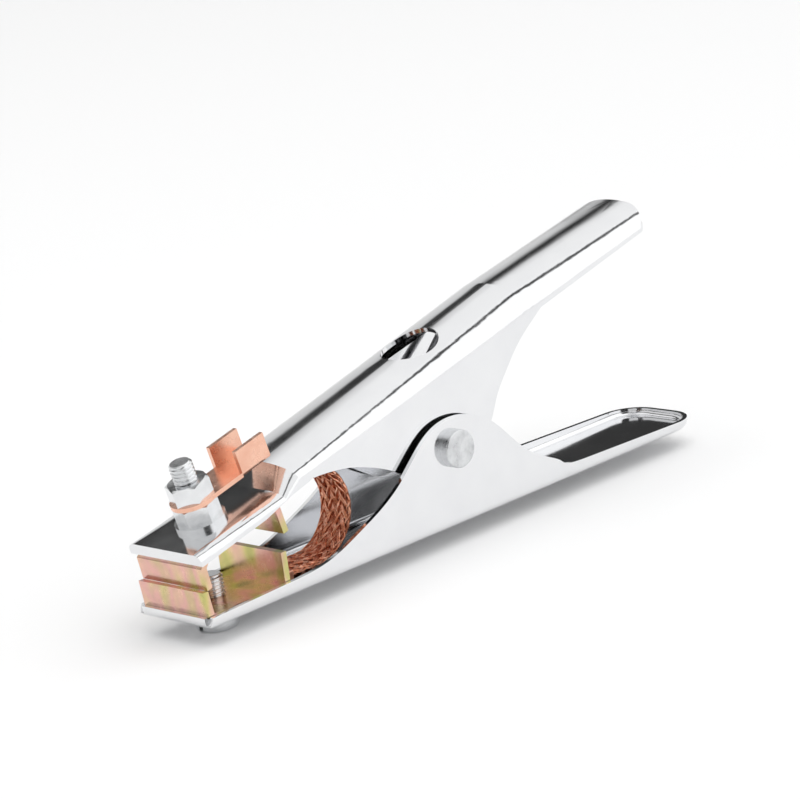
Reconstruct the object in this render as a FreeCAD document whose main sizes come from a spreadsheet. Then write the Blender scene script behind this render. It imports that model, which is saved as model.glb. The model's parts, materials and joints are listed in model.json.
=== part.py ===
import FreeCAD, Part
import Sketcher
import math
import os

V = FreeCAD.Vector

# ---------------------------------------------------------------------------
# Spring ground clamp: two pressed steel arms on a riveted pivot, a stamped
# jaw pad in each nose, a braided jumper that bonds the pads, and a stud with
# a crimp lug for the work lead.
#
# Two working frames are used.  The "lower" frame has its origin under the
# pivot, on the underside of the lower arm.  The "upper" frame has its origin
# on the pivot axis and is tilted by closed_angle, so that the upper arm's
# nose plate is level in it.  +X runs from the jaws to the handles.
# ---------------------------------------------------------------------------

doc = FreeCAD.newDocument("ground_clamp")
sheet = doc.addObject("Spreadsheet::Sheet", "dims")

DIMS = [
    # overall
    ("jaw_width", 35.0),          # outside width of both arms
    ("jaw_reach", 113.2),         # pivot axis to the front of the lower jaw
    ("handle_reach", 120.0),      # pivot axis to the tip of the lower handle
    ("upper_front", 110.5),       # pivot to nose edge, along the upper arm
    ("upper_rear", 117.0),        # pivot to handle end, along the upper arm
    ("pivot_height", 26.6),       # pivot axis above the lower arm's underside
    ("closed_angle", 13.5),       # tilt of the upper arm with the jaws shut
    # sheet metal
    ("gauge", 1.5),               # thickness of both arms
    ("pad_gauge", 2.2),           # thickness of both jaw pads
    ("bend_radius", 3.0),         # outside radius of the lower arm's bends
    ("tip_radius", 12.0),         # corner radius of the lower handle's tip
    ("front_wall", 3.9),          # height of the lower arm's front flange
    ("rim_height", 5.2),          # side wall height where the handle begins
    ("tip_height", 3.6),          # side wall height at the handle's tip
    ("ear_top", 37.0),            # top of the lower arm's ears
    # upper arm, in the upper frame
    ("plate_level", 24.7),        # top face of the nose plate
    ("nose_wall", 3.8),           # depth of the nose's side and front walls
    ("shoulder_foot", 71.5),      # nose plate ends, in front of the pivot
    ("shoulder_head", 64.0),      # crown begins, in front of the pivot
    ("crown_front", 30.0),        # crown height at its front end
    ("crown_knee", 33.5),         # crown height at the knee
    ("crown_rear", 30.8),         # crown height at the handle end
    ("knee_at", 50.0),            # knee of the crown, behind the pivot
    ("side_front", 25.4),         # level where the crown's curve starts, front
    ("side_rear", 23.9),          # the same, at the handle end
    ("lip_front", 24.8),          # underside of the turned-in lips, front
    ("lip_rear", 23.1),           # the same, from the knee to the end
    ("ear_face", 14.2),           # outside face of the upper ears, from centre
    ("hub_radius", 10.5),         # upper ears around the pivot
    ("cable_hole_at", 10.0),      # centre of the cable hole, behind the pivot
    ("cable_hole_radius", 10.3),
    # pivot
    ("rivet_radius", 4.0),
    ("rivet_head_radius", 6.45),
    ("rivet_head_height", 3.2),
    ("running_clearance", 0.05),  # radial, ears and sleeve on the rivet
    ("side_clearance", 0.1),      # along the pivot axis
    ("sleeve_radius", 5.6),
    ("pivot_washer_radius", 8.0),
    # spring
    ("wire_radius", 1.25),
    ("coil_radius", 7.4),
    ("coil_full_turns", 4),
    ("coil_pitch", 2.8),
    ("spring_leg_reach", 40.0),
    ("spring_seat_gap", 0.3),     # leg to the arm that it presses on
    # jaw pads
    ("pad_width", 31.4),
    ("pad_gap", 0.3),             # pad to flange
    ("upper_pad_step", 1.6),      # front wall steps out under the flange
    ("upper_pad_lean", 0.5),      # and then leans out
    ("lower_pad_lean", 1.2),      # how far the lower front wall leans out
    ("pad_rear_at", 76.7),        # rear face of the lower pad, from the pivot
    ("lower_pad_rear_top", 14.9),
    ("upper_pad_rear_at", 73.6),  # rear face of the upper pad, from the pivot
    ("upper_pad_drop", 8.2),      # walls of the upper pad below its base
    ("lip_contact_gap", 0.15),    # between the two front walls when shut
    # screws, M8
    ("thread_radius", 4.0),
    ("thread_clearance", 0.05),
    ("bolt_hole_radius", 4.25),
    ("screw_at", 96.0),           # lower jaw screw in front of the pivot
    ("screw_end", 11.5),          # screw's end above the underside
    ("screw_head_radius", 7.1),
    ("screw_head_height", 4.8),
    ("screw_washer_radius", 8.5),
    ("stud_at", 93.0),            # stud in front of the pivot, along the arm
    ("stud_top", 46.5),           # stud's end above the pivot, upper frame
    ("stud_head_height", 4.2),
    ("washer_thickness", 1.6),
    ("washer_radius", 8.5),
    ("nut_flats", 13.0),
    ("nut_height", 6.0),
    ("thread_chamfer", 0.8),
    # cable lug
    ("lug_gauge", 1.5),
    ("lug_width", 14.0),
    ("lug_rear_at", 63.8),        # end of the crimp wings, from the pivot
    ("wing_length", 12.7),
    ("wing_height", 7.6),
    # braided jumper
    ("braid_width", 16.0),
    ("braid_thickness", 2.4),
    ("terminal_gauge", 0.8),
    ("ferrule_length", 7.0),
    ("ferrule_wall", 0.6),
    ("braid_reach", 39.5),        # rearmost point of the loop, from the pivot
]
for row, (alias, value) in enumerate(DIMS, start=1):
    sheet.set("A%d" % row, alias)
    sheet.set("B%d" % row, str(value))
    sheet.setAlias("B%d" % row, alias)
doc.recompute()


def dim(alias):
    return float(sheet.get(alias))


half = dim("jaw_width") / 2
gauge = dim("gauge")
tilt = math.radians(dim("closed_angle"))

# The part's origin is the bottom centre of its box: the screw head carries it.
pivot_x = (dim("jaw_reach") - dim("handle_reach")) / 2
underside_z = dim("screw_head_height") + dim("washer_thickness")
LOWER = FreeCAD.Placement(V(pivot_x, 0, underside_z), FreeCAD.Rotation())
UPPER = FreeCAD.Placement(
    V(pivot_x, 0, underside_z + dim("pivot_height")),
    FreeCAD.Rotation(V(0, 1, 0), -dim("closed_angle")))


def placed(frame, x=0.0, y=0.0, z=0.0, turn=None):
    return frame.multiply(FreeCAD.Placement(V(x, y, z), turn or FreeCAD.Rotation()))


def to_lower(x, z):
    """A point of the upper frame's XZ plane, in the lower frame."""
    return (x * math.cos(tilt) - z * math.sin(tilt),
            dim("pivot_height") + x * math.sin(tilt) + z * math.cos(tilt))


parts = []


def keep(obj, label, frame):
    obj.Label = label
    obj.Placement = frame
    parts.append(obj)
    return obj


def feature(label, shape, frame):
    obj = doc.addObject("Part::Feature", label)
    obj.Shape = shape
    return keep(obj, label, frame)


# --- small geometry helpers --------------------------------------------------

def extrude_outline(edges, y_low, y_high):
    """A prism across Y from a closed outline drawn in the XZ plane."""
    wire = Part.Wire(Part.__sortEdges__(edges))
    face = Part.Face(wire)
    face.translate(V(0, y_low, 0))
    return face.extrude(V(0, y_high - y_low, 0))


def polygon(points):
    corners = [V(x, 0, z) for x, z in points]
    return [Part.LineSegment(a, b).toShape()
            for a, b in zip(corners, corners[1:] + corners[:1])]


def curve(points, start=None, end=None):
    """A smooth edge through points of the XZ plane, with end directions."""
    spline = Part.BSplineCurve()
    if start and end:
        spline.interpolate(Points=[V(x, 0, z) for x, z in points],
                           InitialTangent=V(start[0], 0, start[1]),
                           FinalTangent=V(end[0], 0, end[1]))
    else:
        spline.interpolate([V(x, 0, z) for x, z in points])
    return spline.toShape()


def line(a, b):
    return Part.LineSegment(V(a[0], 0, a[1]), V(b[0], 0, b[1])).toShape()


def pick(shape, test):
    return [e for e in shape.Edges if test(e)]


def across(radius, x, z, reach):
    """A cylinder along Y through the point (x, z)."""
    return Part.makeCylinder(radius, 2 * reach, V(x, -reach, z), V(0, 1, 0))


def both_sides(shape):
    return shape.fuse(shape.mirror(V(0, 0, 0), V(0, 1, 0)))


# --- lower arm ---------------------------------------------------------------

def tray(inset, floor, height, corner, bend):
    """A flat-bottomed block with a rounded rear end and rounded lower edges."""
    front = -dim("jaw_reach") + inset
    rear = dim("handle_reach") - inset
    side = half - inset
    block = Part.makeBox(rear - front, 2 * side, height - floor, V(front, -side, floor))
    tip = pick(block, lambda e: abs(e.CenterOfMass.x - rear) < 1e-6
               and abs(e.tangentAt(e.FirstParameter).z) > 0.9)
    block = block.makeFillet(corner, tip)
    low = pick(block, lambda e: abs(e.CenterOfMass.z - floor) < 1e-6)
    return block.makeFillet(bend, low)


def lower_arm():
    top = dim("ear_top")
    shell = tray(0, 0, top + 5, dim("tip_radius"), dim("bend_radius"))
    shell = shell.cut(tray(gauge, gauge, top + 10, dim("tip_radius") - gauge,
                           dim("bend_radius") - gauge))
    front, rear = -dim("jaw_reach"), dim("handle_reach")
    rise = dim("rim_height")
    # rim of one side wall from the jaw, over the ear, to the handle
    ear = [(-74, rise), (-60, 6.9), (-46, 11.9), (-36, 16.2), (-26, 22.2), (-16.5, 30.2),
           (-8.5, top - 1.7), (1.5, top), (11, top - 2.1), (18.5, top - 6.4),
           (24.5, 24.8), (30.5, 18.5), (37, 13.6), (48, 8.0), (60, rise)]
    outline = [
        line((front - 1, -1), (front - 1, dim("front_wall"))),
        line((front - 1, dim("front_wall")), ear[0]),
        curve(ear, (1, 0.04), (1, -0.03)),
        line(ear[-1], (rear + 1, dim("tip_height"))),
        line((rear + 1, dim("tip_height")), (rear + 1, -1)),
        line((rear + 1, -1), (front - 1, -1)),
    ]
    shell = shell.common(extrude_outline(outline, -half - 1, half + 1))
    # V-shaped slits that free the front flange from the side walls
    slit = extrude_outline(polygon([(front + 0.7, gauge), (front + 3.4, 8), (front - 2, 8),
                                    (front - 2, gauge)]), half - 2.2, half + 1)
    shell = shell.cut(both_sides(slit))
    shell = shell.cut(across(dim("rivet_radius") + dim("running_clearance"), 0,
                             dim("pivot_height"), half + 1))
    hole = Part.makeCylinder(dim("bolt_hole_radius"), 3 * gauge,
                             V(-dim("screw_at"), 0, -gauge))
    return shell.cut(hole)


feature("lower_arm", lower_arm(), LOWER)


# --- upper arm ---------------------------------------------------------------

def arch_section(x, inset, top, round_y, round_z, bottom):
    """A closed inverted-U section: flat top, elliptic shoulders, plain sides."""
    side = half - inset
    crown = top - inset
    flat = max(side - round_y, 0.5)
    spring = crown - round_z

    def shoulder(sign):
        major, minor = side - flat, crown - spring
        if major >= minor:
            arc = Part.Ellipse(V(x, sign * side, spring), V(x, sign * flat, crown),
                               V(x, sign * flat, spring))
        else:
            arc = Part.Ellipse(V(x, sign * flat, crown), V(x, sign * side, spring),
                               V(x, sign * flat, spring))
        start = arc.parameter(V(x, sign * side, spring))
        end = arc.parameter(V(x, sign * flat, crown))
        sweep = (end - start) % (2 * math.pi)
        if sweep > math.pi:
            return Part.ArcOfEllipse(arc, end, end + 2 * math.pi - sweep).toShape()
        return Part.ArcOfEllipse(arc, start, start + sweep).toShape()

    def seg(a, b):
        return Part.LineSegment(V(x, *a), V(x, *b)).toShape()

    return Part.Wire([
        seg((-side, bottom), (-side, spring)), shoulder(-1),
        seg((-flat, crown), (flat, crown)), shoulder(1),
        seg((side, spring), (side, bottom)), seg((side, bottom), (-side, bottom))])


def side_level(x):
    """Level at which the crown's curve starts, at x in the upper frame."""
    head = -dim("shoulder_head")
    share = (x - head) / (dim("upper_rear") - head)
    return dim("side_front") + (dim("side_rear") - dim("side_front")) * share


def crown_inside(x, y):
    """Level of the crown's inside between its front end and the knee."""
    head, knee = -dim("shoulder_head"), dim("knee_at")
    share = (x - head) / (knee - head)
    top = dim("crown_front") + (dim("crown_knee") - dim("crown_front")) * share
    side = side_level(x)
    return side + (top - gauge - side) * math.sqrt(1 - (y / (half - gauge)) ** 2)


def arch_body(inset, front, rear):
    """The upper arm's outside, or its hollow when inset by the gauge."""
    foot, head, knee = -dim("shoulder_foot"), -dim("shoulder_head"), dim("knee_at")
    level = dim("plate_level")
    low, high = dim("side_rear"), dim("side_front")
    side_knee = side_level(knee)
    bottom = dim("lip_rear") - 12
    stations = [
        (front, level, 3.0, 2.4),
        (foot, level, 9.0, 2.6),
        (head, dim("crown_front"), half, dim("crown_front") - high),
        (knee, dim("crown_knee"), half, dim("crown_knee") - side_knee),
        (rear, dim("crown_rear"), half, dim("crown_rear") - low),
    ]
    sections = [arch_section(x, inset, top, max(ry - inset, 0.8), max(rz - inset, 0.8), bottom)
                for x, top, ry, rz in stations]
    return Part.makeLoft(sections, True, True)


def plan_outline(front, rear, side, corner):
    """The upper arm seen from above: square nose, rounded handle end."""
    block = Part.makeBox(rear - front, 2 * side, 60, V(front, -side, 0))
    tip = pick(block, lambda e: abs(e.CenterOfMass.x - rear) < 1e-6
               and abs(e.tangentAt(e.FirstParameter).z) > 0.9)
    return block.makeFillet(corner, tip)


def upper_arm():
    front, rear = -dim("upper_front"), dim("upper_rear")
    level = dim("plate_level")
    skirt = level - dim("nose_wall")
    foot, head, knee = -dim("shoulder_foot"), -dim("shoulder_head"), dim("knee_at")
    lip_front, lip_rear = dim("lip_front"), dim("lip_rear")
    lip_start = head + 12
    shell = arch_body(0, front, rear + 1).cut(arch_body(gauge, front + gauge, rear + 2))
    shell = shell.common(plan_outline(front, rear, half + 1, dim("tip_radius")))
    # the lower edge: skirt round the nose, then up to the lips of the crown
    trim = [(front - 1, skirt), (foot - 10, skirt), (foot + 3, skirt + 1.5),
            (head + 4, skirt + 1.8), (lip_start, lip_front), (knee, lip_rear),
            (rear + 1, lip_rear)]
    shell = shell.common(extrude_outline(polygon(trim + [(rear + 1, 60), (front - 1, 60)]),
                                         -half - 1, half + 1))
    # turned-in lips under the crown
    inner = dim("ear_face") - gauge
    lip = [(lip_start, lip_front), (knee, lip_rear), (rear, lip_rear),
           (rear, lip_rear + gauge), (knee, lip_rear + gauge), (lip_start, lip_front + gauge)]
    lips = both_sides(extrude_outline(polygon(lip), inner, half - gauge / 2))
    lips = lips.common(plan_outline(front, rear, half + 1, dim("tip_radius")))
    shell = shell.fuse(lips)
    # ears, inside the lower arm's ears
    hub = dim("hub_radius")
    # one ear: rear edge of the nose's skirt, round the hub, back to the lip
    ear = [
        line((lip_start - 4, lip_front + gauge), (lip_start - 4, skirt)),
        curve([(lip_start - 4, skirt), (-49, 19.0), (-43, 16.8), (-37, 13.8), (-29.6, 9.0),
               (-24.2, 4.6), (-20.3, 0.6), (-12, -7.4), (0, -hub)], (1, -0.2), (1, 0)),
        curve([(0, -hub), (12, -7.9), (22.0, -1.9), (27.4, 4.1), (34.8, 9.8), (44.6, 16.0),
               (56, 20.5), (68, lip_rear)], (1, 0), (1, 0.12)),
        line((68, lip_rear), (68, lip_rear + gauge)),
        line((68, lip_rear + gauge), (knee, lip_rear + gauge)),
        line((knee, lip_rear + gauge), (lip_start - 4, lip_front + gauge)),
    ]
    plate = extrude_outline(ear, inner, dim("ear_face"))
    shell = shell.fuse(both_sides(plate)).removeSplitter()
    # cable hole through the crown
    shell = shell.cut(Part.makeCylinder(dim("cable_hole_radius"), 30,
                                        V(dim("cable_hole_at"), 0, dim("lip_rear") + 3)))
    shell = shell.cut(across(dim("rivet_radius") + dim("running_clearance"), 0, 0, half + 1))
    hole = Part.makeCylinder(dim("bolt_hole_radius"), 3 * gauge,
                             V(-dim("stud_at"), 0, level - 2 * gauge))
    return shell.cut(hole)


feature("upper_arm", upper_arm(), UPPER)


# --- jaw pads ----------------------------------------------------------------

def pad(points, screw_x, screw_z, radius):
    """A stamped U-shaped pad: outer outline in XZ, then a screw hole."""
    solid = extrude_outline(polygon(points), -dim("pad_width") / 2, dim("pad_width") / 2)
    hole = Part.makeCylinder(radius, 20, V(screw_x, 0, screw_z - 10))
    return solid.cut(hole)


pad_t = dim("pad_gauge")

# upper pad: base under the nose plate, walls pointing down
upper_base = dim("plate_level") - gauge - dim("terminal_gauge")
upper_front = -dim("upper_front") + gauge + dim("pad_gap")
upper_rear = -dim("upper_pad_rear_at")
upper_tip = upper_base - pad_t - dim("upper_pad_drop")
step_top = dim("plate_level") - dim("nose_wall") - 0.2
step_x = upper_front - dim("upper_pad_step")
step_low = step_top - dim("upper_pad_step") * 0.8
lip_x = step_x - dim("upper_pad_lean")
upper_pad_points = [
    (upper_front, upper_base), (upper_rear, upper_base), (upper_rear, upper_tip),
    (upper_rear - pad_t, upper_tip), (upper_rear - pad_t, upper_base - pad_t),
    (upper_front + pad_t, upper_base - pad_t), (upper_front + pad_t, step_top - 0.6),
    (step_x + pad_t, step_low - 0.6), (lip_x + pad_t, upper_tip), (lip_x, upper_tip),
    (step_x, step_low), (upper_front, step_top)]
upper_pad = pad(upper_pad_points, -dim("stud_at"), upper_base, dim("bolt_hole_radius"))
outer_bends = pick(upper_pad, lambda e: abs(e.CenterOfMass.z - upper_base) < 1e-6
                   and e.Length > dim("pad_width") - 1)
upper_pad = upper_pad.makeFillet(min(pad_t * 0.9, (upper_base - step_top) * 0.8), outer_bends)
feature("upper_jaw_pad", upper_pad, UPPER)

# lower pad: base over the jumper's terminal, walls pointing up; its front
# wall ends just under the upper pad's front wall
lower_base = gauge + dim("terminal_gauge")
lower_front = -dim("jaw_reach") + gauge + dim("pad_gap")
lower_rear = -dim("pad_rear_at")
lower_tip = to_lower(lip_x, upper_tip)[1] - dim("lip_contact_gap")
lower_lean = dim("lower_pad_lean")
lower_pad_points = [
    (lower_front, lower_base), (lower_rear, lower_base),
    (lower_rear, dim("lower_pad_rear_top")), (lower_rear - pad_t, dim("lower_pad_rear_top")),
    (lower_rear - pad_t, lower_base + pad_t), (lower_front + pad_t, lower_base + pad_t),
    (lower_front + pad_t - lower_lean, lower_tip), (lower_front - lower_lean, lower_tip)]
lower_pad = pad(lower_pad_points, -dim("screw_at"), lower_base,
                dim("thread_radius") + dim("thread_clearance"))
outer_bends = pick(lower_pad, lambda e: abs(e.CenterOfMass.z - lower_base) < 1e-6
                   and e.Length > dim("pad_width") - 1)
lower_pad = lower_pad.makeFillet(pad_t * 0.9, outer_bends)
feature("lower_jaw_pad", lower_pad, LOWER)


# --- turned parts, as bodies with bound sketches -----------------------------

def origin_plane(body, role):
    return [f for f in body.Origin.OriginFeatures if f.Role == role][0]


def ring_sketch(body, name, outer, inner):
    """Concentric circles on the body's XY plane, radii bound to the sheet."""
    sk = body.newObject("Sketcher::SketchObject", name)
    sk.AttachmentSupport = [(origin_plane(body, "XY_Plane"), "")]
    sk.MapMode = "FlatFace"
    for tag, radius, drawn in (("outer", outer, 5.0), ("inner", inner, 3.0)):
        index = sk.addGeometry(Part.Circle(V(0, 0, 0), V(0, 0, 1), drawn))
        sk.addConstraint(Sketcher.Constraint("Coincident", index, 3, -1, 1))
        number = sk.addConstraint(Sketcher.Constraint("Radius", index, drawn))
        sk.renameConstraint(number, tag)
        sk.setExpression("Constraints." + tag, radius)
    return sk


def ring(label, outer, inner, thickness, frame):
    """A washer or sleeve: one pad of a ring, along the body's +Z."""
    body = doc.addObject("PartDesign::Body", label)
    sk = ring_sketch(body, label + "_ring", outer, inner)
    pad_feature = body.newObject("PartDesign::Pad", label + "_pad")
    pad_feature.Profile = sk
    pad_feature.setExpression("Length", thickness)
    sk.Visibility = False
    return keep(body, label, frame)


ACROSS = FreeCAD.Rotation(V(1, 0, 0), -90)      # body +Z becomes +Y

ring("pivot_sleeve", "dims.sleeve_radius", "dims.rivet_radius + dims.running_clearance",
     "2 * (dims.ear_face - dims.gauge - dims.side_clearance)",
     placed(LOWER, 0, -(dim("ear_face") - gauge - dim("side_clearance")),
            dim("pivot_height"), ACROSS))
for name, y_start in (("pivot_washer_near", -(half - gauge)),
                      ("pivot_washer_far", dim("ear_face") + dim("side_clearance"))):
    ring(name, "dims.pivot_washer_radius", "dims.rivet_radius + dims.running_clearance",
         "dims.jaw_width / 2 - dims.gauge - dims.ear_face - dims.side_clearance",
         placed(LOWER, 0, y_start, dim("pivot_height"), ACROSS))
ring("stud_washer", "dims.washer_radius", "dims.bolt_hole_radius", "dims.washer_thickness",
     placed(UPPER, -dim("stud_at"), 0, dim("plate_level")))
ring("jaw_screw_washer", "dims.screw_washer_radius", "dims.bolt_hole_radius",
     "dims.washer_thickness",
     placed(LOWER, -dim("screw_at"), 0, -dim("washer_thickness")))


CONE_SLOPE = 0.55       # fall of the cone that rounds a hexagon's corners
CONE_FLAT_INSET = 0.2   # the cone's small end lies inside the flats


def hex_prism(flats, height):
    """A hexagon prism along +Z with its corners coned off at the top."""
    corner = flats / math.sqrt(3)
    points = [V(corner * math.cos(math.radians(60 * k)), corner * math.sin(math.radians(60 * k)), 0)
              for k in range(7)]
    prism = Part.Face(Part.makePolygon(points)).extrude(V(0, 0, height))
    wide = corner + 2
    small = flats / 2 - CONE_FLAT_INSET
    fall = (wide - small) * CONE_SLOPE
    cone = Part.makeCone(wide, small, fall, V(0, 0, height - fall))
    return prism.common(Part.makeCylinder(wide, height - fall).fuse(cone))


def nut(label, frame, turn):
    radius = dim("thread_radius") + dim("thread_clearance")
    shape = hex_prism(dim("nut_flats"), dim("nut_height"))
    shape = shape.cut(Part.makeCylinder(radius, dim("nut_height") * 2, V(0, 0, -1)))
    spun = frame.multiply(FreeCAD.Placement(V(), FreeCAD.Rotation(V(0, 0, 1), turn)))
    return feature(label, shape, spun)


washer_top = dim("plate_level") + dim("washer_thickness")
base_nut_top = washer_top + dim("nut_height")
lug_top = base_nut_top + dim("lug_gauge")
nut("stud_base_nut", placed(UPPER, -dim("stud_at"), 0, washer_top), 20)
nut("lug_nut", placed(UPPER, -dim("stud_at"), 0, lug_top), 8)


def shank(radius, low, high):
    """A threaded shank, drawn at its outside diameter, with a chamfered end."""
    rod = Part.makeCylinder(radius, high - low, V(0, 0, low))
    end = pick(rod, lambda e: abs(e.CenterOfMass.z - high) < 1e-6)
    return rod.makeChamfer(dim("thread_chamfer"), end)


def terminal_stud():
    seat = upper_base - pad_t
    head = hex_prism(dim("nut_flats"), dim("stud_head_height"))
    head = head.mirror(V(0, 0, 0), V(0, 0, 1))
    head.translate(V(0, 0, seat))
    return head.fuse(shank(dim("thread_radius"), seat, dim("stud_top"))).removeSplitter()


feature("terminal_stud", terminal_stud(), placed(UPPER, -dim("stud_at")))


def jaw_screw():
    low = -dim("washer_thickness") - dim("screw_head_height")
    head = Part.makeCylinder(dim("screw_head_radius"), dim("screw_head_height"), V(0, 0, low))
    rim = pick(head, lambda e: abs(e.CenterOfMass.z - low) < 1e-6)
    head = head.makeFillet(1.2, rim)
    slot = Part.makeBox(2 * dim("screw_head_radius") + 2, 1.8, 2.2,
                        V(-dim("screw_head_radius") - 1, -0.9, low - 0.1))
    rod = shank(dim("thread_radius"), -dim("washer_thickness"), dim("screw_end"))
    return head.cut(slot).fuse(rod).removeSplitter()


feature("jaw_screw", jaw_screw(), placed(LOWER, -dim("screw_at")))


def pivot_rivet():
    reach = half + dim("rivet_head_height")
    pin = across(dim("rivet_radius"), 0, 0, half)
    for side in (-1, 1):
        head = Part.makeCylinder(dim("rivet_head_radius"), dim("rivet_head_height"),
                                 V(0, side * half, 0), V(0, side, 0))
        rim = pick(head, lambda e: abs(abs(e.CenterOfMass.y) - reach) < 1e-6)
        pin = pin.fuse(head.makeFillet(0.6, rim))
    return pin.removeSplitter()


feature("pivot_rivet", pivot_rivet(), placed(LOWER, 0, 0, dim("pivot_height")))


# --- cable lug ---------------------------------------------------------------

def cable_lug():
    t, wide = dim("lug_gauge"), dim("lug_width")
    rear = -dim("lug_rear_at")
    front = rear - dim("wing_length")
    eye = -dim("stud_at")
    low = base_nut_top
    bend = t * 0.8
    strip = Part.makeBox(front - eye, wide, t, V(eye, -wide / 2, low))
    strip = strip.fuse(Part.makeBox(rear - front, wide - 2 * bend, t,
                                    V(front, bend - wide / 2, low)))
    strip = strip.fuse(Part.makeCylinder(wide / 2 + 0.6, t, V(eye, 0, low)))
    wing = Part.makeBox(dim("wing_length"), t, dim("wing_height") + t,
                        V(front, wide / 2 - t, low))
    fold = pick(wing, lambda e: abs(e.CenterOfMass.y - wide / 2) < 1e-6
                and abs(e.CenterOfMass.z - low) < 1e-6)
    body = strip.fuse(both_sides(wing.makeFillet(bend, fold))).removeSplitter()
    return body.cut(Part.makeCylinder(dim("bolt_hole_radius"), 4 * t, V(eye, 0, low - t)))


feature("cable_lug", cable_lug(), UPPER)


# --- braided jumper ----------------------------------------------------------

def terminal(screw_x, plate_end, level, direction):
    """A thin eyelet plate and the ferrule folded round the braid's end.

    direction is +1 when the ferrule stands on the plate's face that points up.
    """
    t, wide = dim("terminal_gauge"), dim("braid_width")
    radius = wide / 2
    plate = Part.makeBox(plate_end - screw_x, wide, t, V(screw_x, -wide / 2, level))
    plate = plate.fuse(Part.makeCylinder(radius, t, V(screw_x, 0, level)))
    plate = plate.cut(Part.makeCylinder(dim("bolt_hole_radius"), 4 * t, V(screw_x, 0, level - t)))
    tall = dim("braid_thickness") + 2 * dim("ferrule_wall")
    low = level if direction > 0 else level + t - tall
    box = Part.makeBox(dim("ferrule_length"), wide + 2 * dim("ferrule_wall"), tall,
                       V(plate_end, -wide / 2 - dim("ferrule_wall"), low))
    box = box.makeFillet(0.5, pick(box, lambda e: abs(e.tangentAt(e.FirstParameter).x) > 0.9))
    return plate.fuse(box).removeSplitter()


lower_ferrule_at = lower_rear + 0.5
upper_ferrule_at = upper_rear + 0.5
lower_term_level = gauge
upper_term_level = dim("plate_level") - gauge - dim("terminal_gauge")
feature("braid_terminal_lower",
        terminal(-dim("screw_at"), lower_ferrule_at, lower_term_level, 1), LOWER)
feature("braid_terminal_upper",
        terminal(-dim("stud_at"), upper_ferrule_at, upper_term_level, -1), UPPER)


def braid_jumper():
    """A flat strap: straight out of each ferrule, then one open loop between."""
    thick, wide = dim("braid_thickness"), dim("braid_width")
    tall = thick + 2 * dim("ferrule_wall")
    x1 = lower_ferrule_at + dim("ferrule_length")
    z1 = lower_term_level + tall / 2
    x2, z2 = to_lower(upper_ferrule_at + dim("ferrule_length"),
                      upper_term_level + dim("terminal_gauge") - tall / 2)
    c, s = math.cos(tilt), math.sin(tilt)
    # loop radius r and upper straight run from the loop's rearmost point
    reach = -dim("braid_reach")
    run = (reach - x2 - (1 + s) * (z2 - z1) / (1 + c)) / (c + (1 + s) * s / (1 + c))
    r = (z2 - z1 + s * run) / (1 + c)
    xa = reach - r
    centre = V(xa, 0, z1 + r)

    def on_loop(angle):
        return centre + V(r * math.sin(angle), 0, -r * math.cos(angle))

    turn = math.pi + tilt
    path = Part.Wire([
        Part.LineSegment(V(x1, 0, z1), V(xa, 0, z1)).toShape(),
        Part.Arc(on_loop(0), on_loop(turn / 2), on_loop(turn)).toShape(),
        Part.LineSegment(on_loop(turn), V(x2, 0, z2)).toShape()])
    print("braid: loop radius %.2f, runs %.2f and %.2f, length %.2f mm"
          % (r, xa - x1, run, path.Length))
    section = Part.makePolygon([V(x1, -wide / 2, z1 - thick / 2), V(x1, wide / 2, z1 - thick / 2),
                                V(x1, wide / 2, z1 + thick / 2), V(x1, -wide / 2, z1 + thick / 2),
                                V(x1, -wide / 2, z1 - thick / 2)])
    solid = path.makePipeShell([section], True, False, 1)
    print("braid: volume %.1f, section times length %.1f"
          % (solid.Volume, thick * wide * path.Length))
    return solid


feature("braid_jumper", braid_jumper(), LOWER)


# --- torsion spring ----------------------------------------------------------

def torsion_spring():
    """A coil round the sleeve, with a leg under each handle.

    Seen along Y, each leg is the tangent from its foot to the coil: the lower
    one rests on the lower arm's floor, the upper one under the crown.
    """
    r, wire, pitch = dim("coil_radius"), dim("wire_radius"), dim("coil_pitch")
    reach = dim("spring_leg_reach")
    foot = (reach, gauge + wire + dim("spring_seat_gap") - dim("pivot_height"))
    tip_y = (dim("coil_full_turns") + 1) * pitch / 2 + reach * pitch / (2 * math.pi * r) + wire
    under = crown_inside(reach, tip_y) - wire - dim("spring_seat_gap")
    top = to_lower(reach, under)
    top = (top[0], top[1] - dim("pivot_height"))

    def tangent_angle(point, side):
        away = math.hypot(point[0], point[1])
        return math.atan2(point[1], point[0]) + side * math.acos(r / away)

    start = tangent_angle(foot, -1)
    finish = tangent_angle(top, 1)
    sweep = (start - finish) % (2 * math.pi) + 2 * math.pi * dim("coil_full_turns")
    width = sweep / (2 * math.pi) * pitch
    helix = Part.makeHelix(pitch, width, r)
    # lay the helix's own axis along Y and turn its start to the lower tangent
    helix.rotate(V(), V(1, 0, 0), -90)
    helix.rotate(V(), V(0, 1, 0), -math.degrees(start))
    helix.translate(V(0, -width / 2, 0))
    slope = pitch / (2 * math.pi * r)

    def on_coil(angle, y):
        return V(r * math.cos(angle), y, r * math.sin(angle))

    first = on_coil(start, -width / 2)
    last = on_coil(finish, width / 2)

    def leg(coil_point, end, sign):
        run = math.hypot(end[0] - coil_point.x, end[1] - coil_point.z)
        return V(end[0], coil_point.y + sign * run * slope, end[1])

    low_end, high_end = leg(first, foot, -1), leg(last, top, 1)
    path = Part.Wire([Part.LineSegment(low_end, first).toShape()] + helix.Edges
                     + [Part.LineSegment(last, high_end).toShape()])
    section = Part.Wire(Part.Circle(low_end, first - low_end, wire).toShape())
    solid = path.makePipeShell([section], True, True)
    print("spring: volume %.1f, section times length %.1f"
          % (solid.Volume, math.pi * wire ** 2 * path.Length))
    return solid


feature("torsion_spring", torsion_spring(), placed(LOWER, 0, 0, dim("pivot_height")))

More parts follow.
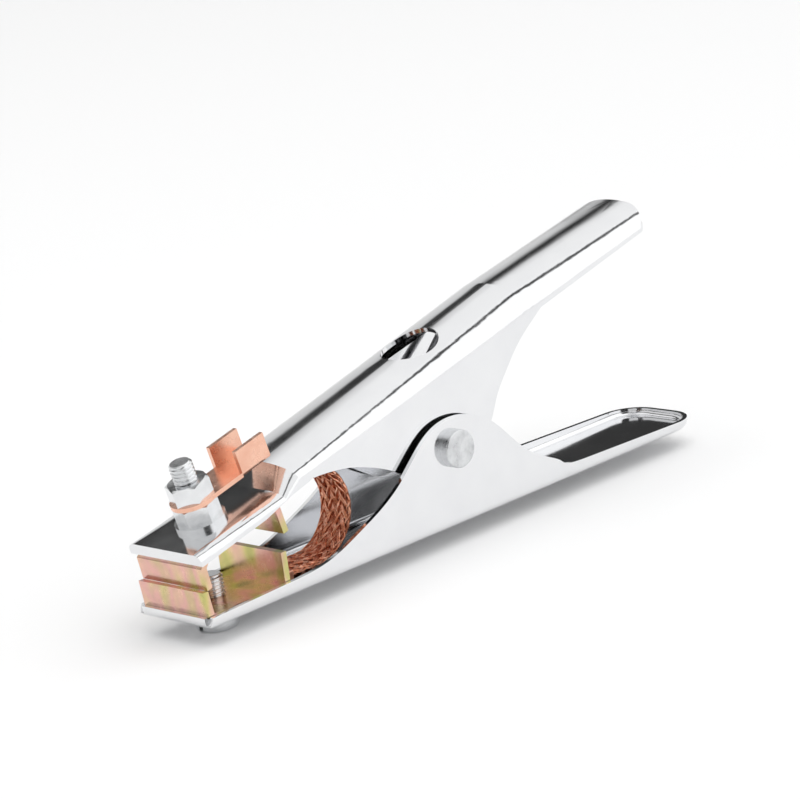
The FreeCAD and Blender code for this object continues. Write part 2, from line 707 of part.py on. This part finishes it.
doc.recompute()
for obj in doc.Objects:
    bad = [state for state in obj.State if state in ("Invalid", "Error")]
    if bad:
        raise RuntimeError("%s is %s" % (obj.Label, bad))
for obj in parts:
    if obj.Shape.isNull() or not obj.Shape.isValid():
        raise RuntimeError("%s has no valid shape" % obj.Label)
os.makedirs("parts", exist_ok=True)
for obj in parts:
    print("%-22s solids %d  volume %9.1f  box %s"
          % (obj.Label, len(obj.Shape.Solids), obj.Shape.Volume, obj.Shape.BoundBox))
    obj.Shape.exportStep("parts/%s.step" % obj.Label)
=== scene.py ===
import json
import math
import random

import bmesh
import bpy
from mathutils import Matrix, Vector


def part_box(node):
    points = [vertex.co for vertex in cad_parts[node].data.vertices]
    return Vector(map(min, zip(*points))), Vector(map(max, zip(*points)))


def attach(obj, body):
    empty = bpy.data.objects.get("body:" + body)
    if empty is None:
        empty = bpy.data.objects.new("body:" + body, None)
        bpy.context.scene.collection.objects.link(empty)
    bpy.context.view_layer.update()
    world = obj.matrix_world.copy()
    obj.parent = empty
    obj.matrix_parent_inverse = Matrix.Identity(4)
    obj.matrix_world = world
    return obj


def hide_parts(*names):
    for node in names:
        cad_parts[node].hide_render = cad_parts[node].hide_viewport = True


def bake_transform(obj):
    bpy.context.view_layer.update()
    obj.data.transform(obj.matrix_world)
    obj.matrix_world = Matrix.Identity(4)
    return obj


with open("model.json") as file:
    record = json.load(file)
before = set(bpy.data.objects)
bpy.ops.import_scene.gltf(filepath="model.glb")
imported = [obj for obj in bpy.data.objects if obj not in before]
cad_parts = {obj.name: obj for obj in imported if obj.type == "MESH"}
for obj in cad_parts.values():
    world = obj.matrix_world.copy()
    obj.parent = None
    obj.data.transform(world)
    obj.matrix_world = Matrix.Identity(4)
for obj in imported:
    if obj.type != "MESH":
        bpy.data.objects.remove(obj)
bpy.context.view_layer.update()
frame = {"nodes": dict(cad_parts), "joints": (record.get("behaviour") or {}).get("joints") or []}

MM = 0.001
nodes = frame["nodes"]

# ---------------------------------------------------------------------------
# Frames.  The pivot comes from the record; the upper arm's frame is tilted about it by a given
# angle.
# ---------------------------------------------------------------------------
hinge = frame["joints"][0]
PIVOT = Vector(hinge["pos_m"])
TILT = math.radians(13.5)                # of the upper arm, with the jaws shut
UNDERSIDE = PIVOT.z - 26.6 * MM          # underside of the lower arm
STUD_AT = 93.0                           # stud in front of the pivot, upper frame
SCREW_AT = 96.0                          # jaw screw in front of the pivot, lower frame
UP_FERRULE_END = -66.1                   # rear end of the upper ferrule, upper frame
UP_BRAID_LEVEL = 21.4                    # middle of the braid inside that ferrule
BRAID_HALF = 1.2 * MM                    # half of the strap's thickness


def low_pt(x, y, z):
    """Millimetres in the lower arm's frame (origin under the pivot) to metres."""
    return Vector((PIVOT.x + x * MM, y * MM, UNDERSIDE + z * MM))


def up_pt(x, y, z):
    """Millimetres in the upper arm's frame (origin on the pivot) to metres."""
    c, s = math.cos(TILT), math.sin(TILT)
    return Vector((PIVOT.x + (x * c - z * s) * MM, y * MM, PIVOT.z + (x * s + z * c) * MM))


# ---------------------------------------------------------------------------
# Materials
# ---------------------------------------------------------------------------
class Graph:
    """A small wrapper that keeps node-building lines short."""

    def __init__(self, name):
        self.mat = bpy.data.materials.new(name)
        self.mat.use_nodes = True
        self.tree = self.mat.node_tree
        self.tree.nodes.clear()
        self.out = self.add("ShaderNodeOutputMaterial")
        self.bsdf = self.add("ShaderNodeBsdfPrincipled")
        self.link(self.bsdf, "BSDF", self.out, "Surface")
        self.coords = self.add("ShaderNodeTexCoord")

    def add(self, kind, **settings):
        node = self.tree.nodes.new(kind)
        for key, value in settings.items():
            setattr(node, key, value)
        return node

    def link(self, a, out, b, into):
        self.tree.links.new(a.outputs[out], b.inputs[into])

    def mapping(self, scale, turn=(0, 0, 0)):
        m = self.add("ShaderNodeMapping")
        m.inputs["Scale"].default_value = scale
        m.inputs["Rotation"].default_value = turn
        self.link(self.coords, "Object", m, "Vector")
        return m

    def noise(self, scale, detail=4.0, rough=0.55, stretch=(1, 1, 1), turn=(0, 0, 0)):
        n = self.add("ShaderNodeTexNoise")
        n.inputs["Scale"].default_value = scale
        n.inputs["Detail"].default_value = detail
        n.inputs["Roughness"].default_value = rough
        self.link(self.mapping(stretch, turn), "Vector", n, "Vector")
        return n

    def ramp(self, source, stops, out=0):
        r = self.add("ShaderNodeValToRGB")
        while len(r.color_ramp.elements) < len(stops):
            r.color_ramp.elements.new(0.5)
        for element, (place, colour) in zip(r.color_ramp.elements, stops):
            element.position = place
            if not hasattr(colour, "__len__"):
                colour = (colour, colour, colour)
            element.color = tuple(colour) + (1,)
        self.link(source, out, r, "Fac")
        return r

    def add_up(self, a, a_out, b, b_out):
        m = self.add("ShaderNodeMath", operation="ADD")
        self.link(a, a_out, m, 0)
        self.link(b, b_out, m, 1)
        return m

    def bump(self, source, out, strength, distance):
        b = self.add("ShaderNodeBump")
        b.inputs["Strength"].default_value = strength
        b.inputs["Distance"].default_value = distance
        self.link(source, out, b, "Height")
        self.link(b, "Normal", self.bsdf, "Normal")
        return b


def metal(name, light, dark, rough=(0.05, 0.14), cloud=60, scratch=0.25, grain=900,
          bump=0.02, wave=0.0):
    """A plated metal: cloudy colour, hairline scratches, uneven gloss.

    wave is the height in metres of the slow waviness of pressed sheet.
    """
    g = Graph(name)
    g.bsdf.inputs["Metallic"].default_value = 1.0
    clouds = g.noise(cloud, 5, 0.6)
    colour = g.ramp(clouds, [(0.3, dark), (0.62, light)])
    g.link(colour, "Color", g.bsdf, "Base Color")
    hair = g.noise(grain, 2, 0.5, stretch=(0.06, 1, 1), turn=(0, 0, 0.35))
    hair2 = g.noise(grain * 0.7, 2, 0.5, stretch=(1, 0.05, 1), turn=(0, 0.3, -0.6))
    lines = g.add_up(hair, 0, hair2, 0)
    gloss = g.add("ShaderNodeMapRange")
    gloss.inputs["From Min"].default_value = 0.35
    gloss.inputs["From Max"].default_value = 0.7
    gloss.inputs["To Min"].default_value = rough[0]
    gloss.inputs["To Max"].default_value = rough[1]
    g.link(clouds, 0, gloss, "Value")
    streak = g.ramp(lines, [(0.55, 0.0), (0.8, scratch * 0.2)])
    total = g.add_up(gloss, "Result", streak, "Color")
    g.link(total, "Value", g.bsdf, "Roughness")
    fine = g.bump(lines, "Value", bump, 0.0001)
    if wave:
        slow = g.noise(26, 1, 0.4)
        swell = g.add("ShaderNodeBump")
        swell.inputs["Strength"].default_value = 1.0
        swell.inputs["Distance"].default_value = wave
        g.link(slow, 0, swell, "Height")
        g.link(swell, "Normal", fine, "Normal")
    return g.mat


def passivate(name):
    """Yellow zinc: gold, olive and rose patches over a bright metal."""
    g = Graph(name)
    g.bsdf.inputs["Metallic"].default_value = 1.0
    patches = g.noise(62, 2, 0.5, stretch=(1, 1, 0.4))
    colour = g.ramp(patches, [(0.34, (0.36, 0.40, 0.12)), (0.43, (0.68, 0.60, 0.24)),
                              (0.49, (0.82, 0.56, 0.38)), (0.57, (0.82, 0.47, 0.42)),
                              (0.66, (0.62, 0.58, 0.24))])
    fine = g.noise(260, 4, 0.6)
    tone = g.ramp(fine, [(0.35, 0.86), (0.65, 1.0)])
    mixed = g.add("ShaderNodeMix", data_type="RGBA", blend_type="MULTIPLY")
    mixed.inputs["Factor"].default_value = 1.0
    g.link(colour, "Color", mixed, 6)
    g.link(tone, "Color", mixed, 7)
    g.link(mixed, 2, g.bsdf, "Base Color")
    gloss = g.ramp(fine, [(0.3, 0.16), (0.7, 0.3)])
    g.link(gloss, "Color", g.bsdf, "Roughness")
    g.bump(fine, 0, 0.03, 0.0002)
    return g.mat


M_ARM = metal("chrome_plate", (0.83, 0.835, 0.845), (0.785, 0.79, 0.805), (0.06, 0.11),
              cloud=45, scratch=0.12, grain=700, bump=0.02, wave=0.0004)
M_HARD = metal("zinc_hardware", (0.82, 0.83, 0.84), (0.70, 0.71, 0.72), (0.09, 0.2), cloud=150)
M_RIVET = metal("rivet_steel", (0.72, 0.73, 0.74), (0.52, 0.53, 0.54), (0.2, 0.4), cloud=240,
                bump=0.05)
M_LUG = metal("copper_sheet", (0.92, 0.57, 0.43), (0.80, 0.43, 0.31), (0.14, 0.3), cloud=120)
M_TERM = metal("copper_terminal", (0.85, 0.45, 0.31), (0.66, 0.30, 0.20), (0.2, 0.4), cloud=150)
M_SPRING = metal("spring_wire", (0.42, 0.42, 0.43), (0.24, 0.24, 0.25), (0.25, 0.45), cloud=200)
M_PAD = passivate("yellow_zinc")


def strand_material():
    """Bare copper wire, darker and duller in patches."""
    g = Graph("copper_braid")
    g.bsdf.inputs["Metallic"].default_value = 1.0
    base = g.noise(500, 3, 0.6)
    colour = g.ramp(base, [(0.30, (0.48, 0.15, 0.07)), (0.5, (0.74, 0.31, 0.19)),
                           (0.70, (0.97, 0.58, 0.42))])
    g.link(colour, "Color", g.bsdf, "Base Color")
    gloss = g.ramp(base, [(0.3, 0.28), (0.7, 0.14)])
    g.link(gloss, "Color", g.bsdf, "Roughness")
    return g.mat


M_BRAID = strand_material()


def paint(name, material):
    mesh = nodes[name].data
    mesh.materials.clear()
    mesh.materials.append(material)


for name in nodes:
    paint(name, M_HARD)
for name in ("lower_arm", "upper_arm"):
    paint(name, M_ARM)
for name in ("lower_jaw_pad", "upper_jaw_pad"):
    paint(name, M_PAD)
paint("cable_lug", M_LUG)
paint("braid_terminal_lower", M_TERM)
paint("braid_terminal_upper", M_TERM)
paint("torsion_spring", M_SPRING)
paint("pivot_rivet", M_RIVET)


# ---------------------------------------------------------------------------
# Mesh helpers
# ---------------------------------------------------------------------------
def make_object(name, verts, faces, material, smooth=True):
    mesh = bpy.data.meshes.new(name)
    mesh.from_pydata([tuple(v) for v in verts], [], faces)
    mesh.validate()
    mesh.update()
    mesh.materials.append(material)
    if smooth:
        mesh.polygons.foreach_set("use_smooth", [True] * len(mesh.polygons))
    obj = bpy.data.objects.new(name, mesh)
    bpy.context.scene.collection.objects.link(obj)
    return obj


# ---------------------------------------------------------------------------
# Braided jumper: flat tubular braid of fine wire, woven over and under
# ---------------------------------------------------------------------------
def braid_path(count):
    """Centre line of the strap in the XZ plane, as in the solid it replaces."""
    low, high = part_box("braid_jumper")
    x1, z1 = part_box("braid_terminal_lower")[1].x, low.z + BRAID_HALF
    reach = high.x - BRAID_HALF
    c, s = math.cos(TILT), math.sin(TILT)
    # the strap's upper end lies at the middle of the upper ferrule's end
    end = up_pt(UP_FERRULE_END, 0, UP_BRAID_LEVEL)
    x2, z2 = end.x, end.z
    run = (reach - x2 - (1 + s) * (z2 - z1) / (1 + c)) / (c + (1 + s) * s / (1 + c))
    r = (z2 - z1 + s * run) / (1 + c)
    xa = reach - r
    turn = math.pi + TILT
    lengths = [xa - x1, r * turn, run]
    total = sum(lengths)
    points, normals = [], []
    for i in range(count):
        d = total * i / (count - 1)
        if d <= lengths[0]:
            p, ang = (x1 + d, z1), 0.0
        elif d <= lengths[0] + lengths[1]:
            ang = (d - lengths[0]) / r
            p = (xa + r * math.sin(ang), z1 + r - r * math.cos(ang))
        else:
            ang = turn
            e = d - lengths[0] - lengths[1]
            p = (xa + r * math.sin(ang) - e * c, z1 + r - r * math.cos(ang) - e * s)
        points.append(Vector((p[0], 0, p[1])))
        # the normal points out of the loop
        normals.append(Vector((math.sin(ang), 0, -math.cos(ang))))
    return points, normals, total


def tube(path, radius, ring, verts, faces):
    """Append a closed tube along a list of points."""
    base = len(verts)
    last = len(path) - 1
    side = None
    for i, p in enumerate(path):
        q = (path[min(i + 1, last)] - path[max(i - 1, 0)]).normalized()
        if side is None:
            side = q.orthogonal()
        side = (side - q * side.dot(q)).normalized()
        other = q.cross(side)
        for r in range(ring):
            ang = 2 * math.pi * r / ring
            verts.append(p + side * (radius * math.cos(ang)) + other * (radius * math.sin(ang)))
    for i in range(last):
        for r in range(ring):
            a0 = base + i * ring + r
            a1 = base + i * ring + (r + 1) % ring
            faces.append((a0, a1, a1 + ring, a0 + ring))
    faces.append(tuple(base + r for r in range(ring))[::-1])
    faces.append(tuple(base + last * ring + r for r in range(ring)))


def braid():
    """Bundles of three wires, woven two over and two under, as a flat tube."""
    rng = random.Random(7)
    steps = 190
    points, normals, total = braid_path(steps)
    spacing = total / (steps - 1)
    carriers, wires = 14, 3
    half_w, half_t = 7.3 * MM, 0.62 * MM
    pitch = 60 * MM
    radius = 0.34 * MM
    verts, faces = [], []
    for direction in (1, -1):
        for k in range(carriers):
            drift = rng.uniform(-0.004, 0.004)
            for w in range(wires):
                offset = (w - (wires - 1) / 2) * 0.62 * MM
                wobble = rng.uniform(0, 6.28)
                loose = rng.uniform(0.02, 0.16) * MM
                route = []
                for i in range(steps):
                    d = spacing * i
                    ends = min(1.0, 0.25 + d / (5 * MM), 0.25 + (total - d) / (5 * MM))
                    a = 2 * math.pi * (direction * d / pitch + k / carriers + drift)
                    across = (2 / math.pi) * math.asin(0.995 * math.cos(a))
                    face = math.tanh(3.0 * math.sin(a))
                    twill = 2 * k + direction * 2 * carriers * d / pitch
                    weave = direction * math.sin(math.pi * (twill + 0.5) / 2)
                    lift = 0.40 * MM * weave + loose * math.sin(d / (4 * MM) + wobble)
                    y = across * half_w + offset * 0.8 * math.sin(a)
                    out = face * (half_t + lift * ends)
                    j = min(max(i + offset * 0.5 / spacing, 0), steps - 1)
                    j0 = min(int(j), steps - 2)
                    p = points[j0].lerp(points[j0 + 1], j - j0)
                    n = normals[j0].lerp(normals[j0 + 1], j - j0).normalized()
                    route.append(p + Vector((0, y, 0)) + n * out)
                tube(route, radius, 6, verts, faces)
    obj = make_object("woven_jumper", verts, faces, M_BRAID)
    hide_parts("braid_jumper")
    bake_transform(obj)


braid()


# ---------------------------------------------------------------------------
# Torsion spring: wire coil whose turns share the hinge's angle
# ---------------------------------------------------------------------------
def spring():
    r, pitch, wire = 7.4, 2.8, 1.25
    low_foot, high_foot = (40.0, -23.55), (32.3, 36.9)      # ends of the legs from the pivot
    start, sweep = math.radians(-111.3), math.radians(1558.6)
    finish = start - sweep
    width = pitch * sweep / (2 * math.pi)
    slope = pitch / (2 * math.pi * r)

    def at(x, y, z):
        return Vector((PIVOT.x + x * MM, y * MM, PIVOT.z + z * MM))

    def leg(foot, angle, y, sign, count=16):
        tangent = (r * math.cos(angle), r * math.sin(angle))
        run = math.hypot(foot[0] - tangent[0], foot[1] - tangent[1])
        return [at(foot[0] + (tangent[0] - foot[0]) * t, y + sign * run * slope * (1 - t),
                   foot[1] + (tangent[1] - foot[1]) * t)
                for t in (i / count for i in range(count))]

    route = leg(low_foot, start, -width / 2, -1)
    turns = 200
    for i in range(turns + 1):
        angle = start - sweep * i / turns
        route.append(at(r * math.cos(angle), -width / 2 + width * i / turns,
                        r * math.sin(angle)))
    route += leg(high_foot, finish, width / 2, 1)[::-1]
    verts, faces = [], []
    tube(route, wire * MM, 16, verts, faces)
    obj = make_object("coil_spring", verts, faces, M_SPRING)
    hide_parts("torsion_spring")
    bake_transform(obj)


spring()


# ---------------------------------------------------------------------------
# Threads: the shanks of the stud and the jaw screw get a real M8 thread
# ---------------------------------------------------------------------------
def threaded(name, node, place, low, high, body, head_side):
    """Keep the node's head and give its shank a thread from low to high (mm).

    place(x, y, z) maps millimetres about the shank's axis to metres.  The
    node's faces on the shank above head_side (mm) are dropped.
    """
    major, minor, pitch, shank = 3.98, 3.25, 1.25, 4.06
    around, per_turn = 40, 10
    chamfer = 0.75
    bm = bmesh.new()
    bm.from_mesh(nodes[node].data)
    bm.transform(nodes[node].matrix_world)
    origin = place(0, 0, 0)
    axis = (place(0, 0, 1) - origin).normalized()
    doomed = []
    for face in bm.faces:
        rel = face.calc_center_median() - origin
        height = rel.dot(axis)
        away = (rel - axis * height).length
        if height > head_side * MM and away < shank * MM:
            doomed.append(face)
    bmesh.ops.delete(bm, geom=doomed, context="FACES")
    mesh = bpy.data.meshes.new(name)
    bm.to_mesh(mesh)
    bm.free()
    verts = [v.co.copy() for v in mesh.vertices]
    faces = [tuple(poly.vertices) for poly in mesh.polygons]
    base = len(verts)
    rows = int((high - low) / pitch * per_turn)
    for i in range(rows + 1):
        z = low + (high - low) * i / rows
        for k in range(around):
            share = (z / pitch - k / around) % 1.0
            ridge = 1 - abs(2 * share - 1)
            radius = minor + (major - minor) * min(max(1.3 * ridge - 0.15, 0), 1)
            radius = min(radius, major - chamfer + (high - z))
            ang = 2 * math.pi * k / around
            verts.append(place(radius * math.cos(ang), radius * math.sin(ang), z))
    for i in range(rows):
        for k in range(around):
            a0 = base + i * around + k
            a1 = base + i * around + (k + 1) % around
            faces.append((a0, a1, a1 + around, a0 + around))
    faces.append(tuple(base + rows * around + k for k in range(around)))
    obj = make_object(name, verts, faces, M_HARD, smooth=False)
    smooth = [len(poly.vertices) == 4 for poly in obj.data.polygons]
    obj.data.polygons.foreach_set("use_smooth", smooth)
    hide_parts(node)
    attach(obj, body)


threaded("threaded_stud", "terminal_stud", lambda x, y, z: up_pt(x - STUD_AT, y, z),
         20.2, 46.5, "upper", 20.25)
threaded("threaded_screw", "jaw_screw", lambda x, y, z: low_pt(x - SCREW_AT, y, z),
         -1.6, 11.5, "lower", -1.5)


# ---------------------------------------------------------------------------
# Studio: pale floor, a room of white sheets and dark flats, key light, camera
# ---------------------------------------------------------------------------
def studio():
    scene = bpy.context.scene
    scene.view_settings.view_transform = "Standard"
    mesh = bpy.data.meshes.new("floor")
    half = 6.0
    corners = [(-half, -half, 0), (half, -half, 0), (half, half, 0), (-half, half, 0)]
    mesh.from_pydata(corners, [], [(0, 1, 2, 3)])
    floor = bpy.data.objects.new("floor", mesh)
    scene.collection.objects.link(floor)
    g = Graph("pale_floor")
    g.bsdf.inputs["Base Color"].default_value = (0.95, 0.95, 0.95, 1)
    g.bsdf.inputs["Roughness"].default_value = 0.9
    mesh.materials.append(g.mat)

    world = bpy.data.worlds.new("studio")
    scene.world = world
    world.use_nodes = True
    tree = world.node_tree
    tree.nodes.clear()
    out = tree.nodes.new("ShaderNodeOutputWorld")
    back = tree.nodes.new("ShaderNodeBackground")
    coords = tree.nodes.new("ShaderNodeTexCoord")
    split = tree.nodes.new("ShaderNodeSeparateXYZ")
    tree.links.new(coords.outputs["Generated"], split.inputs[0])

    def calc(op, a, b):
        m = tree.nodes.new("ShaderNodeMath")
        m.operation = op
        for k, source in enumerate((a, b)):
            if isinstance(source, (int, float)):
                m.inputs[k].default_value = source
            else:
                tree.links.new(source, m.inputs[k])
        return m.outputs[0]

    def curve(source, stops):
        r = tree.nodes.new("ShaderNodeValToRGB")
        while len(r.color_ramp.elements) < len(stops):
            r.color_ramp.elements.new(0.5)
        for element, (spot, value) in zip(r.color_ramp.elements, stops):
            element.position = spot
            element.color = (value, value, value, 1)
        tree.links.new(source, r.inputs[0])
        return r.outputs[0]

    def blend(share, a, b):
        """a where share is 0, b where it is 1."""
        return calc("ADD", calc("MULTIPLY", a, calc("SUBTRACT", 1.0, share)),
                    calc("MULTIPLY", b, share))

    x, y, z = split.outputs[0], split.outputs[1], split.outputs[2]
    # a room that is pale above and below a dark strip, seen over the far side
    level = calc("ADD", z, calc("MULTIPLY", x, 0.15))
    ring = curve(level, [(0.0, 0.86), (0.10, 0.78), (0.34, 0.73), (0.45, 0.64), (0.50, 0.04),
                         (0.605, 0.03), (0.65, 0.75), (0.74, 1.0), (1.0, 1.04)])
    # a dark flat to the far right, low down
    turn = calc("ADD", calc("SUBTRACT", y, calc("MULTIPLY", x, 1.2)), 0.5)
    flat = calc("MULTIPLY", curve(turn, [(0.0, 1.0), (0.47, 1.0), (0.55, 0.0)]),
                curve(z, [(0.03, 0.0), (0.09, 1.0), (0.5, 1.0), (0.56, 0.0)]))
    far = blend(flat, ring, 0.04)
    # a white sheet over the near right, with a narrow gap at its upper edge
    behind = curve(calc("SUBTRACT", 0.5, x), [(0.60, 0.0), (0.72, 1.0)])
    beyond = curve(calc("ADD", y, 0.5), [(0.60, 0.0), (0.68, 1.0)])
    share = calc("MAXIMUM", behind, beyond)
    gap = calc("MULTIPLY", curve(calc("ADD", y, 0.5), [(0.47, 0.0), (0.505, 1.0), (0.585, 1.0),
                                                       (0.62, 0.0)]),
               curve(z, [(0.78, 0.0), (0.86, 1.0)]))
    radiance = blend(gap, blend(share, 1.25, far), 0.06)
    tree.links.new(radiance, back.inputs["Color"])
    tree.links.new(back.outputs["Background"], out.inputs["Surface"])
    back.inputs["Strength"].default_value = 1.0

    def area(name, place, aim, size, power):
        light = bpy.data.lights.new(name, "AREA")
        light.shape = "RECTANGLE"
        light.size, light.size_y = size
        light.energy = power
        obj = bpy.data.objects.new(name, light)
        obj.location = place
        obj.rotation_euler = (Vector(aim) - Vector(place)).to_track_quat("-Z", "Y").to_euler()
        obj.visible_glossy = False
        scene.collection.objects.link(obj)

    area("key", (-0.2, -0.4, 2.2), (0, 0, 0), (3.0, 3.0), 21)

    az, el, roll = math.radians(42.06), math.radians(14.84), math.radians(8.11)
    back_dir = Vector((-math.sin(az) * math.cos(el), -math.cos(az) * math.cos(el), math.sin(el)))
    right = (-back_dir).cross(Vector((0, 0, 1))).normalized()
    up = right.cross(-back_dir)
    right2 = right * math.cos(roll) - up * math.sin(roll)
    up2 = right * math.sin(roll) + up * math.cos(roll)
    cam = bpy.data.cameras.new("camera")
    cam.sensor_width = 36
    cam.lens = 3603.0 / 800 * 36
    cam.clip_end = 50
    obj = bpy.data.objects.new("camera", cam)
    scene.collection.objects.link(obj)
    rot = Matrix((right2, up2, back_dir)).transposed().to_4x4()
    obj.matrix_world = Matrix.Translation(Vector((-0.7822, -0.85745, 0.3553))) @ rot
    scene.camera = obj


studio()
